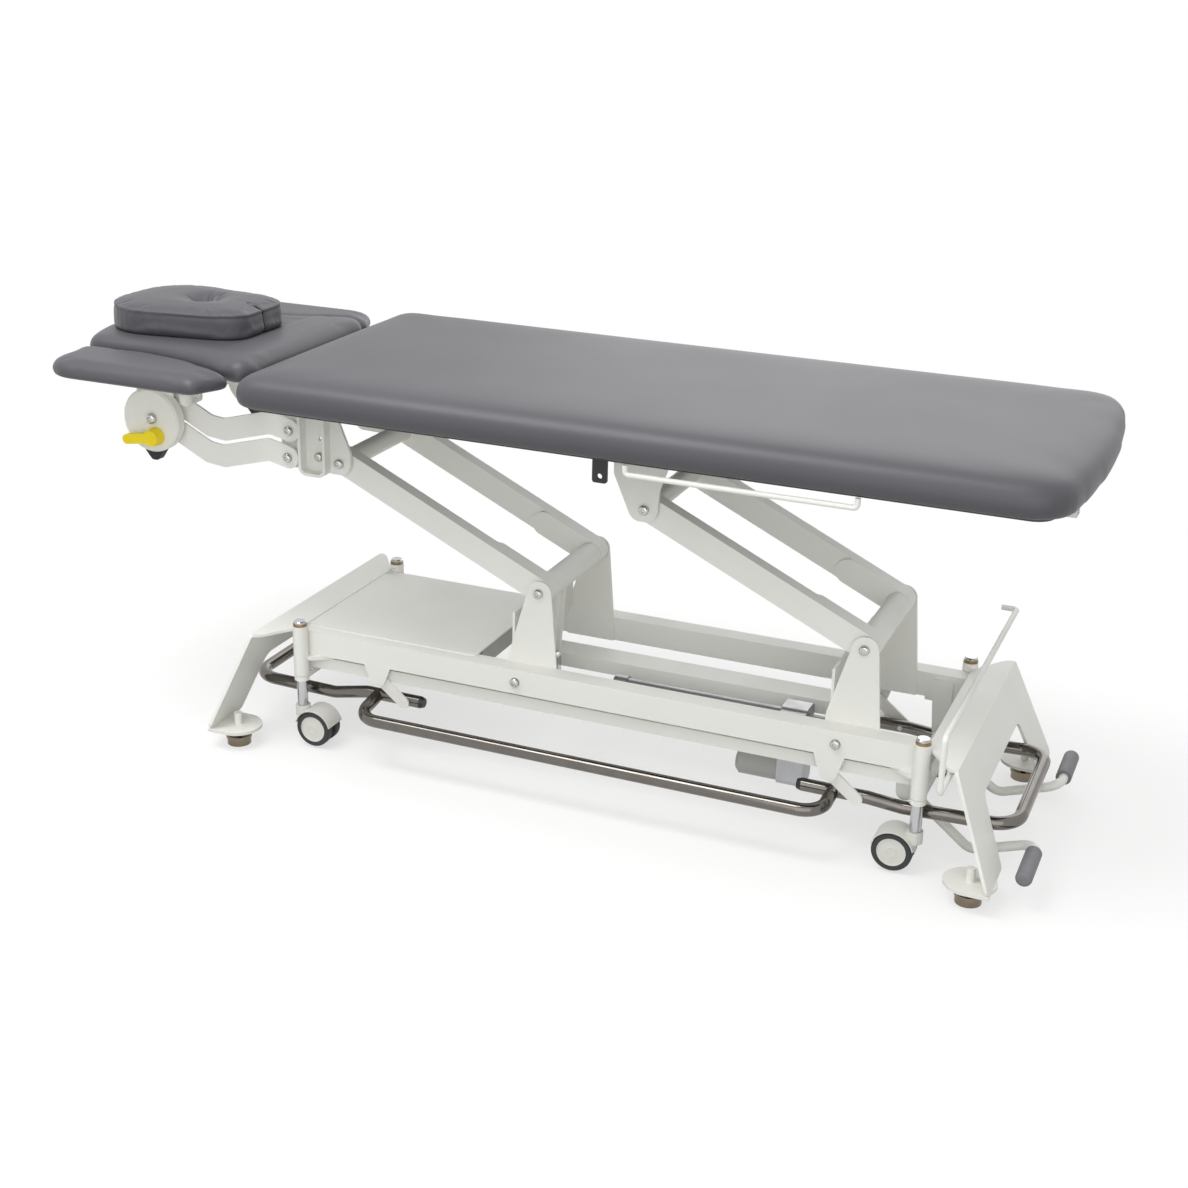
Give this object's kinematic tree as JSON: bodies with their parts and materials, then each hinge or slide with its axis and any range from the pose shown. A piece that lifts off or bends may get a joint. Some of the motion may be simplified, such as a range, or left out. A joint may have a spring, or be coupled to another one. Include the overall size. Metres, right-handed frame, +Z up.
{
  "type": "electric physiotherapy table",
  "caption": "Electric hi-lo physiotherapy table: padded couch on parallel lift arms, tilting face section with armrests, castered white base.",
  "frame": {"origin": "centre of the whole table's footprint, on the floor under the levelling feet", "axes": "+X towards the foot end, +Y to the far side away from the clamping lever, +Z up"},
  "size_m": [2.045, 0.69, 0.84],
  "materials": {
    "white_paint": "satin",
    "leatherette": "satin",
    "board_laminate": "matte",
    "polished_steel": "polished",
    "bright_steel": "satin",
    "chrome": "polished",
    "bronze": "satin",
    "actuator_alloy": "satin",
    "black_plastic": "matte",
    "grey_plastic": "matte",
    "white_plastic": "satin",
    "wheel": "matte",
    "black_rubber": "matte",
    "grey_rubber": "matte",
    "yellow_plastic": "gloss"
  },
  "bodies": {
    "base": {"rail_near": "white_paint", "rail_far": "white_paint", "end_frame_head": "white_paint", "end_frame_foot": "white_paint", "guide_posts": "white_paint", "post_bushes": "bronze", "post_caps": "chrome", "levelling_feet": "bronze", "column_head": "white_paint", "column_foot": "white_paint", "lower_pivot_pins": "bright_steel", "column_bolts": "bright_steel", "tie_beam": "white_paint", "cover_plate": "white_paint", "control_box": "grey_plastic", "paper_rod": "white_paint", "actuator_body": "actuator_alloy", "actuator_motor": "grey_plastic"},
    "front_arm": {"front_arm": "white_paint"},
    "rear_arm": {"rear_arm": "white_paint"},
    "actuator_rod": {"actuator_rod": "chrome"},
    "couch": {"upper_pivot_pins": "bright_steel", "upper_frame": "white_paint", "head_brackets": "white_paint", "rear_brackets": "white_paint", "couch_board": "board_laminate", "couch_cushion": "leatherette", "hook_plate": "black_plastic", "rod_rail": "white_paint", "head_bracket_bolts": "bright_steel"},
    "head_link_lower": {"head_link_lower": "white_paint"},
    "head_link_upper": {"head_link_upper": "white_paint"},
    "head_carrier": {"head_carrier": "white_paint", "tilt_bolts": "bright_steel"},
    "face_section": {"tilt_discs": "white_paint", "disc_bumpers": "black_rubber", "head_frame": "white_paint", "head_pad": "leatherette", "face_pillow": "leatherette"},
    "clamp_lever": {"clamp_lever": "yellow_plastic"},
    "armrest_near": {"armrest_near": "leatherette", "armrest_mount_near": "white_paint"},
    "armrest_far": {"armrest_far": "leatherette", "armrest_mount_far": "white_paint"},
    "caster_lift": {"caster_stems": "chrome", "caster_yoke": "white_paint"},
    "pedals": {"pedal_cranks": "white_paint", "pedal_grips": "grey_rubber"},
    "foot_link_head": {"foot_links_head": "white_paint"},
    "foot_link_foot": {"foot_links_foot": "white_paint"},
    "foot_bar": {"foot_bar": "polished_steel", "foot_bar_plugs": "black_plastic"},
    "caster_head_near": {"caster_hood_head_near": "white_plastic"},
    "wheel_head_near": {"caster_wheel_head_near": "wheel"},
    "caster_head_far": {"caster_hood_head_far": "white_plastic"},
    "wheel_head_far": {"caster_wheel_head_far": "wheel"},
    "caster_foot_near": {"caster_hood_foot_near": "white_plastic"},
    "wheel_foot_near": {"caster_wheel_foot_near": "wheel"},
    "caster_foot_far": {"caster_hood_foot_far": "white_plastic"},
    "wheel_foot_far": {"caster_wheel_foot_far": "wheel"}
  },
  "joints": [
    {"name": "lift", "type": "hinge", "parent": "base", "child": "front_arm", "pos_m": [0.0081, 0, 0.3891], "axis": [0, 1, 0], "range_deg": [-33, 25]},
    {"name": "lift_rear", "type": "hinge", "parent": "base", "child": "rear_arm", "pos_m": [0.646, 0, 0.3891], "axis": [0, 1, 0], "range_deg": [-33, 25]},
    {"name": "couch_level", "type": "hinge", "parent": "front_arm", "child": "couch", "pos_m": [-0.4196, 0, 0.5893], "axis": [0, 1, 0], "range_deg": [-25, 33]},
    {"name": "actuator_stroke", "type": "slide", "parent": "base", "child": "actuator_rod", "axis": [-1, 0, 0], "range_m": [-0.1117, 0.0846]},
    {"name": "pedal", "type": "hinge", "parent": "base", "child": "pedals", "pos_m": [0.7405, 0, 0.125], "axis": [0, 1, 0], "range_deg": [0, 6]},
    {"name": "caster_lift", "type": "slide", "parent": "base", "child": "caster_lift", "axis": [0, 0, -1], "range_m": [0, 0.0101]},
    {"name": "bar_link_head", "type": "hinge", "parent": "base", "child": "foot_link_head", "pos_m": [-0.3255, 0, 0.162], "axis": [0, 1, 0], "range_deg": [-5, 5], "stiffness_Nm_per_rad": 220, "springref_deg": -1.06},
    {"name": "bar_link_foot", "type": "hinge", "parent": "base", "child": "foot_link_foot", "pos_m": [0.6055, 0, 0.152], "axis": [0, 1, 0], "range_deg": [-5, 5]},
    {"name": "bar_level", "type": "hinge", "parent": "foot_link_head", "child": "foot_bar", "pos_m": [-0.2715, 0, 0.119], "axis": [0, 1, 0], "range_deg": [-5, 5]},
    {"name": "head_raise", "type": "hinge", "parent": "couch", "child": "head_link_lower", "pos_m": [-0.5255, 0, 0.592], "axis": [0, 1, 0], "range_deg": [-12, 20]},
    {"name": "head_raise_upper", "type": "hinge", "parent": "couch", "child": "head_link_upper", "pos_m": [-0.5255, 0, 0.645], "axis": [0, 1, 0], "range_deg": [-12, 20]},
    {"name": "head_level", "type": "hinge", "parent": "head_link_lower", "child": "head_carrier", "pos_m": [-0.8255, 0, 0.636], "axis": [0, 1, 0], "range_deg": [-20, 12]},
    {"name": "head_tilt", "type": "hinge", "parent": "head_carrier", "child": "face_section", "pos_m": [-0.8195, 0, 0.642], "axis": [0, 1, 0], "range_deg": [-30, 5]},
    {"name": "clamp", "type": "hinge", "parent": "face_section", "child": "clamp_lever", "pos_m": [-0.8115, -0.207, 0.606], "axis": [0, 1, 0], "range_deg": [-35, 35]},
    {"name": "armrest_near_drop", "type": "slide", "parent": "face_section", "child": "armrest_near", "axis": [0, 0, -1], "range_m": [0, 0.026]},
    {"name": "armrest_far_drop", "type": "slide", "parent": "face_section", "child": "armrest_far", "axis": [0, 0, -1], "range_m": [0, 0.026]},
    {"name": "swivel_head_near", "type": "hinge", "parent": "caster_lift", "child": "caster_head_near", "pos_m": [-0.4915, -0.202, 0.075], "axis": [0, 0, 1], "continuous": true},
    {"name": "roll_head_near", "type": "hinge", "parent": "caster_head_near", "child": "wheel_head_near", "pos_m": [-0.4565, -0.202, 0.042], "axis": [0, 1, 0], "continuous": true},
    {"name": "swivel_head_far", "type": "hinge", "parent": "caster_lift", "child": "caster_head_far", "pos_m": [-0.4915, 0.202, 0.075], "axis": [0, 0, 1], "continuous": true},
    {"name": "roll_head_far", "type": "hinge", "parent": "caster_head_far", "child": "wheel_head_far", "pos_m": [-0.4565, 0.202, 0.042], "axis": [0, 1, 0], "continuous": true},
    {"name": "swivel_foot_near", "type": "hinge", "parent": "caster_lift", "child": "caster_foot_near", "pos_m": [0.7765, -0.202, 0.075], "axis": [0, 0, 1], "continuous": true},
    {"name": "roll_foot_near", "type": "hinge", "parent": "caster_foot_near", "child": "wheel_foot_near", "pos_m": [0.7415, -0.202, 0.042], "axis": [0, 1, 0], "continuous": true},
    {"name": "swivel_foot_far", "type": "hinge", "parent": "caster_lift", "child": "caster_foot_far", "pos_m": [0.7765, 0.202, 0.075], "axis": [0, 0, 1], "continuous": true},
    {"name": "roll_foot_far", "type": "hinge", "parent": "caster_foot_far", "child": "wheel_foot_far", "pos_m": [0.7415, 0.202, 0.042], "axis": [0, 1, 0], "continuous": true}
  ],
  "couplings": [
    {"joint": "lift_rear", "follows": "lift", "ratio": 1},
    {"joint": "couch_level", "follows": "lift", "ratio": -1},
    {"joint": "actuator_stroke", "follows": "lift", "m_per_rad": 0.1936},
    {"joint": "caster_lift", "follows": "pedal", "m_per_rad": 0.0955},
    {"joint": "bar_link_foot", "follows": "bar_link_head", "ratio": 1},
    {"joint": "bar_level", "follows": "bar_link_head", "ratio": -1},
    {"joint": "head_raise_upper", "follows": "head_raise", "ratio": 1},
    {"joint": "head_level", "follows": "head_raise", "ratio": -1}
  ]
}
